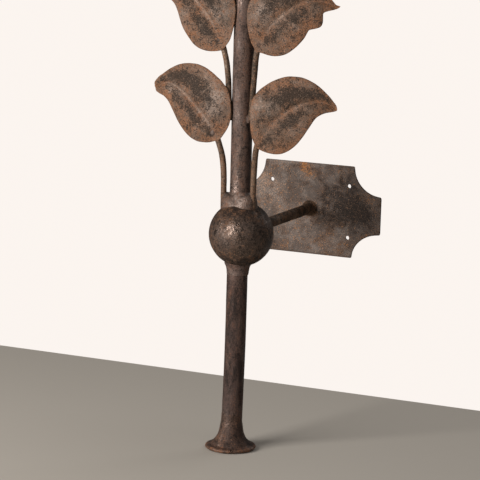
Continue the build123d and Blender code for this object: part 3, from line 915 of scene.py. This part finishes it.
tips = {"blunt": (93.4, 51.2), "pointed": (92.8, 53), "wide": (92.8, 53), "lobed": (97.6, 55.0)}
arched = [
    root, (7, 14), (15, 27), (23, 35.5), (31, 43), (41, 50.5), (52, 56.5), (63, 60), (74, 60.6), (84, 58),
]
slanted = [
    root, (6.2, 10.8), (14.2, 21.4), (23.4, 30.1), (32.6, 38.2), (43, 46.1), (54, 52.7), (65, 57),
    (76.4, 58),
]


def even(points, count, ends):
    """Points along a smooth line, by length, crowded towards both ends by mixing in half a cosine."""
    line = curve_through(points, 400)
    at = np.r_[0, np.cumsum(np.linalg.norm(np.diff(line, axis=0), axis=1))]
    share = np.linspace(0, 1, count)
    share = share * (1 - ends) + (1 - np.cos(pi * share)) / 2 * ends
    return np.stack([np.interp(share * at[-1], at, c) for c in line.T], 1)


def blade(shape, midrib, gleam_share, seed):
    """Blade in millimetres in its own plane, x out, y up, z to the front. Rows run from root to tip;
    columns go round a thin section, across the front from the lower to the upper edge and back behind.
    Height above the plane: the cupping of a sphere, a swelling of each half, and a creased valley along
    the midrib that fades towards the root. Returns the grid and five masks: rim, crease (partly painted
    highlight), painted shade beside the crease, painted sheen by the root, painted gleam on the crease."""
    rows, cols = 130, 48
    tip = tips[shape]
    below = even([*lower_edges[shape], tip], rows, 0.8)[:, None]
    above = even([*upper_edges[shape], tip], rows, 0.8)[:, None]
    rib = even([*midrib, tip], rows, 0.8)[:, None]
    spin = np.linspace(0, pi, cols)
    across = -np.cos(spin) * 0.5 + np.linspace(-1, 1, cols) * 0.5
    t = np.r_[across, across[::-1]][None, :, None]
    face = np.r_[np.ones(cols), -np.ones(cols)][None, :]
    flat = rib + np.where(t < 0, -t * (below - rib), t * (above - rib))
    wobble = np.stack([grain(np.dstack([flat, 0 * flat[..., :1]]), 8.0, seed + k) for k in (1, 2)], -1)
    flat = flat + 0.3 * wobble * np.abs(t) ** 6
    t = t[..., 0]
    side_span = np.where(t < 0, np.linalg.norm(below - rib, axis=-1), np.linalg.norm(above - rib, axis=-1))
    reach = np.abs(t)
    from_edge, from_rib = (1 - reach) * side_span, reach * side_span
    along = np.linspace(0, 1, rows)[:, None]
    cloud = np.dstack([flat, 0 * from_rib])
    depth = fade((along - 0.16) / 0.35) * fade((1.0 - along) / 0.12)
    wander = 0.8 * grain(cloud, 17.0, seed + 8)
    fold = np.sqrt((np.sign(t) * from_rib + wander) ** 2 + 0.6) - 0.77
    valley = np.exp(-fold / 2.8)
    puff = np.sin(pi * np.clip(reach, 0, 1)) * fade(side_span / 22)
    out = np.linalg.norm(flat - dome_at, axis=-1)
    dome = np.sqrt(dome_r**2 - out**2) - sqrt(dome_r**2 - dome_edge**2)
    z = dome - 2.8 * depth * valley + 1.5 * puff * fade((along - 0.08) / 0.3)
    z = z + 0.35 * layered(cloud, 26.0, seed + 3) + 0.12 * layered(cloud, 7.0, seed + 4)
    z = z + (0.5 * grain(cloud, 19.0, seed + 6) + 0.3) * np.exp(-from_edge / 3.0)
    z = z - 0.10 * pits(cloud, 2.6, seed + 7, 0.4) * (face > 0)
    round_off = np.sqrt(1 - (1 - np.clip(from_edge / 0.7, 0, 1)) ** 2)
    z = z + face * (leaf_t / MM / 2) * (0.15 + 0.85 * round_off) * fade(side_span / 4 + 0.1)
    rim = np.exp(-from_edge / 6.0) + 0.7 * fade((along - 0.78) / 0.2)
    # crease: a line along the valley, laid paler with less speckle as a painted highlight, and warmer with
    # rust.
    crease = depth * np.exp(-((np.sign(t) * from_rib + 0.8) / 1.7) ** 2)
    # Painted shade: bands above and below the crease, where the leaf's halves turn from the lamp.
    above_rib = np.exp(-(((t - 0.45) / 0.26) ** 2))
    above_rib = above_rib * fade((along - 0.22) / 0.2) * fade((1.0 - along) / 0.3)
    below_rib = np.exp(-(((t + 0.30) / 0.20) ** 2))
    below_rib = below_rib * fade((along - 0.10) / 0.1) * fade((0.85 - along) / 0.3)
    shade = above_rib * 1.35 + below_rib * 0.9
    # Painted sheen: a paler, smoother patch by the root.
    sheen = np.exp(-(np.linalg.norm(flat - [6, 44], axis=-1) / 17) ** 2)
    # Painted highlight: a thin bright line part way along the crease.
    gleam = np.exp(-((np.sign(t) * from_rib - 0.4) / 0.8) ** 2) * np.exp(-(((along - 0.47) / 0.14) ** 2))
    return np.dstack([flat, z]), rim, crease, shade, sheen, gleam * gleam_share


leaf_shapes = {
    ("lower", "left"): ("blunt", slanted, (-1.0, 0)),
    ("lower", "right"): ("pointed", arched, (0, -1.0)),
    ("middle", "left"): ("wide", arched, (-3.8, -1.0)),
    ("middle", "right"): ("lobed", arched, (3.0, 0)),
    ("upper", "left"): ("blunt", arched, (-2.0, 0)),
    ("upper", "right"): ("pointed", arched, (0, 0)),
}


def make_leaf(node, side, turn, shape, midrib, nudge, seed):
    """Turns the blade in its plane, leans it back, mirrors it for the left side, and sets it so that its
    outer and lower limits are those of the CAD leaf, moved by the nudge (out, up), and its front is as
    far forward."""
    # The painted gleam is full on the left leaves, towards the lamp, and a quarter as strong on the right.
    grid, rim, crease, shade, sheen, gleam = blade(shape, midrib, 1.0 if side < 0 else 0.25, seed)
    a = radians(turn)
    x = grid[..., 0] * cos(a) - grid[..., 1] * sin(a)
    y = grid[..., 0] * sin(a) + grid[..., 1] * cos(a)
    z = grid[..., 2]
    place = np.stack(
        [x * cos(leaf_lean) + z * sin(leaf_lean), x * sin(leaf_lean) - z * cos(leaf_lean), y], -1
    )
    place = place * MM
    corner, far = low(node), high(node)
    place[..., 0] *= side
    cad_outer = far[0] if side > 0 else corner[0]
    outer = place[..., 0].max() if side > 0 else place[..., 0].min()
    place[..., 0] += cad_outer - outer + side * nudge[0] * MM
    place[..., 1] += corner[1] - place[..., 1].min()
    place[..., 2] += corner[2] - place[..., 2].min() + nudge[1] * MM
    return piece(
        node, [place], leaf_finish, [node], sharp=60,
        attributes={"rim": [rim], "crease": [crease], "shade": [shade], "sheen": [sheen], "gleam": [gleam]},
    )


leaf_turns = {
    "lower": (3.0, -1.5),
    "middle": (5.0, 1.0),
    "upper": (3.0, 0.0),
}
for pair, (pair_name, turns) in enumerate(leaf_turns.items()):
    for side, side_name, turn_up in zip((-1, 1), ("left", "right"), turns):
        shape, midrib, nudge = leaf_shapes[pair_name, side_name]
        seed = 101 + 20 * pair + 7 * side
        make_leaf(f"leaf_{pair_name}_{side_name}", side, turn_up, shape, midrib, nudge, seed)

# ---- Stems -----------------------------------------------------------------------------------
for pair, pair_name in enumerate(leaf_turns):
    for side, side_name in ((-1, "left"), (1, "right")):
        node = f"stem_{pair_name}_{side_name}"
        corner, far = low(node), high(node)
        inner = corner[0] if side > 0 else -far[0]
        outer = far[0] if side > 0 else -corner[0]
        foot_x = inner + stem_r - (0 if side > 0 else 2.8 * MM if pair == 0 else 1.7 * MM)
        end = np.array([outer - 3.07 * MM, far[2] - 1.68 * MM])
        neck = end - np.array([6.0, 11.0]) * MM
        bend = np.array([foot_x + (0.6 if pair == 0 else 3.0) * MM, neck[1] - 26 * MM])
        start = np.array([foot_x, corner[2] - (4.0 * MM if pair == 0 else 0)])
        line = rounded([start, bend, neck, end], [34 * MM, 16 * MM], 1.0 * MM)
        route = np.stack([side * line[:, 0], stem_y + 0 * line[:, 0], line[:, 1]], 1)
        along = np.linspace(0, 1, len(route))
        thick = stem_r * (1 + 0.05 * layered(route, 20 * MM, 130 + pair * 5 + side))
        blunt = np.sqrt(np.clip(np.minimum(along, 1 - along) / 0.012, 0, 1))
        grid = carried(route, thick * blunt, 22)
        grid = hammered(grid, 141 + pair * 11 + side, dents=0.22, dent_size=9, roughness=0.07, pit=0.12)
        piece(node, [grid], stem_finish, [node])


# ---- Welds -----------------------------------------------------------------------------------
def bead(centre, radii, seed):
    """Lump of weld metal: an ellipsoid whose radius swells with noise and with ripples along Z."""
    lat = np.linspace(-pi / 2, pi / 2, 22)[:, None]
    lon = np.linspace(0, 2 * pi, 30, endpoint=False)[None]
    unit = np.stack([np.cos(lat) * np.cos(lon), np.cos(lat) * np.sin(lon), np.sin(lat) + 0 * lon], -1)
    swell = 1 + 0.12 * layered(unit, 0.8, seed) + 0.03 * np.sin(unit[..., 2] * 14)
    return np.array(centre) + unit * swell[..., None] * np.array(radii)


foot_beads, leaf_beads = [], []
for pair, pair_name in enumerate(leaf_turns):
    for side, side_name in ((-1, "left"), (1, "right")):
        node = f"stem_{pair_name}_{side_name}"
        corner, far = low(node), high(node)
        if pair:
            inner = corner[0] if side > 0 else -far[0]
            at = (side * (inner + 1.0 * MM), stem_y, corner[2] + 2.6 * MM)
            foot_beads.append(bead(at, (3.4 * MM, 3.8 * MM, 5.2 * MM), 161 + pair * 3 + side))
        outer = far[0] if side > 0 else -corner[0]
        at = (side * (outer - 4.2 * MM), stem_y - 3.0 * MM, far[2] - 4.4 * MM)
        leaf_beads.append(bead(at, (4.2 * MM, 2.9 * MM, 4.4 * MM), 171 + pair * 3 + side))
piece("stem_foot_welds", foot_beads, weld_finish, ["stem_foot_welds"])
piece("leaf_welds", leaf_beads, weld_finish, ["leaf_welds"])

# ---- Drip pan and candle cup -----------------------------------------------------------------
pan_r = (high("drip_pan")[0] - low("drip_pan")[0]) / 2
bead_r = 2 * MM
rim_r, rim_z = pan_r - bead_r, high("drip_pan")[2] - bead_r
roll = np.linspace(-0.15, 1.65, 16) * pi
pan_profile = np.vstack([
    rounded([(top_tenon_r, pan_seat), (43 * MM, pan_seat), (rim_r + 0.75 * MM, rim_z - 3.5 * MM),
             (rim_r + 0.75 * MM, rim_z - 2.2 * MM)], [14 * MM, 3 * MM], 1.4 * MM),
    np.stack([rim_r + bead_r * np.cos(roll - 0.25 * pi), rim_z + bead_r * np.sin(roll - 0.25 * pi)], 1),
    rounded([(rim_r - 0.75 * MM, rim_z - 2.2 * MM), (rim_r - 0.75 * MM, rim_z - 3.2 * MM),
             (42 * MM, pan_seat + 1.5 * MM), (top_tenon_r, pan_seat + 1.5 * MM)],
            [3 * MM, 14 * MM], 1.4 * MM),
])
pan_grid = turned(pan_profile, 150)
past_the_cup = fade((np.hypot(pan_grid[..., 0], pan_grid[..., 1] - axis_y) - 16 * MM) / (10 * MM))
shallow = 0.30 * MM * layered(pan_grid, 11 * MM, 181)
pan_grid[..., 2] += shallow * past_the_cup
piece("drip_pan", [pan_grid], pan_finish, ["drip_pan"], loop=True)

cup_base, cup_lip = low("candle_cup")[2], high("candle_cup")[2]
lip_r = (high("candle_cup")[0] - low("candle_cup")[0]) / 2
cup_r = lip_r - 2.5 * MM
cup_bore = cup_r - 1.6 * MM
cup_profile = rounded(
    [(0, cup_base), (cup_r, cup_base), (cup_r, cup_lip - 3.2 * MM), (lip_r, cup_lip - 2.2 * MM),
     (lip_r, cup_lip), (cup_bore, cup_lip), (cup_bore, cup_base + 2 * MM), (0, cup_base + 2 * MM)],
    [1 * MM, 1.5 * MM, 0.8 * MM, 0.8 * MM, 0.7 * MM, 1.2 * MM], 0.9 * MM,
)
cup_grid = hammered(turned(cup_profile, 90), 191, dents=0.16, dent_size=9, roughness=0.05, pit=0.08)
piece("candle_cup", [cup_grid], bar_finish, ["candle_cup"])


# ---- Floor, light and camera -----------------------------------------------------------------
floor_colour = (0.47, 0.437, 0.393, 1)
sky_light = (0.11, 0.105, 0.10, 1)          # what the sky sheds on the iron
sky_seen = (0.97, 0.91, 0.865, 1)           # what stands behind it as a pale wall


def stage_floor():
    """Plain pale floor that the foot stands on."""
    side, front, back = 3.0, -4.0, 105 * MM
    corners = [(-side, front, ground), (side, front, ground), (side, back, ground), (-side, back, ground)]
    mesh = bpy.data.meshes.new("floor")
    mesh.from_pydata(corners, [], [(0, 1, 2, 3)])
    paint = Tree("floor_paint")
    shader = paint.add("ShaderNodeBsdfPrincipled", {}, {"Base Color": floor_colour, "Roughness": 0.75})
    paint.links.new(shader.node.outputs[0], paint.out.inputs["Surface"])
    mesh.materials.append(paint.material)
    made = bpy.data.objects.new("floor", mesh)
    bpy.context.scene.collection.objects.link(made)


def aim(item, place, target):
    """Stands a lamp at a place, shining at a target, its top up."""
    turn = (Vector(target) - Vector(place)).to_track_quat("-Z", "Y")
    item.matrix_world = Matrix.Translation(place) @ turn.to_matrix().to_4x4()


def lamp(name, place, target, width, height, watts, colour):
    """Flat lamp of that width and height in metres."""
    data = bpy.data.lights.new(name, "AREA")
    data.shape, data.size, data.size_y = "RECTANGLE", width, height
    data.energy, data.color = watts, colour
    made = bpy.data.objects.new(name, data)
    bpy.context.scene.collection.objects.link(made)
    aim(made, place, target)


stage_floor()
lamp("window", (-0.98, -1.95, 0.50), (0, axis_y, 0.05), 1.1, 1.4, 66, (1.0, 0.96, 0.91))
lamp("fill", (1.6, -1.5, 0.9), (0, axis_y, 0.05), 1.4, 1.4, 4, (1.0, 0.95, 0.90))
lamp("back", (0.6, 1.5, 1.2), (0, axis_y, 0.1), 1.4, 1.2, 9, (1.0, 0.97, 0.94))

world = bpy.data.worlds.new("studio")
bpy.context.scene.world = world
world.use_nodes = True
sky = world.node_tree
path = sky.nodes.new("ShaderNodeLightPath")
seen = sky.nodes.new("ShaderNodeMix")
seen.data_type = "RGBA"
seen.inputs[6].default_value = sky_light
seen.inputs[7].default_value = sky_seen
sky.links.new(path.outputs["Is Camera Ray"], seen.inputs[0])
sky.links.new(seen.outputs[2], sky.nodes["Background"].inputs["Color"])

view_az, view_el, view_roll = radians(24.12), radians(10.19), radians(1.71)
view_distance = 2.602
view_lens, view_sensor = 166.5, 36
look_right, look_up = 1.8 * MM, -7.7 * MM   # where the middle of the view lies from the ball's centre
forward = Vector((-sin(view_az) * cos(view_el), cos(view_az) * cos(view_el), -sin(view_el)))
level = Vector((cos(view_az), sin(view_az), 0))
upright = level.cross(forward)
right = cos(view_roll) * level + sin(view_roll) * upright
above = -sin(view_roll) * level + cos(view_roll) * upright
centre_of_view = Vector((0, axis_y, 0)) + right * look_right + above * look_up
camera_data = bpy.data.cameras.new("camera")
camera_data.lens, camera_data.sensor_width = view_lens, view_sensor
camera_data.clip_end = 50
camera = bpy.data.objects.new("camera", camera_data)
bpy.context.scene.collection.objects.link(camera)
stand = centre_of_view - forward * view_distance
camera.matrix_world = Matrix((
    (right.x, above.x, -forward.x, stand.x),
    (right.y, above.y, -forward.y, stand.y),
    (right.z, above.z, -forward.z, stand.z),
    (0, 0, 0, 1),
))
bpy.context.scene.camera = camera
bpy.context.scene.view_settings.view_transform = "Standard"
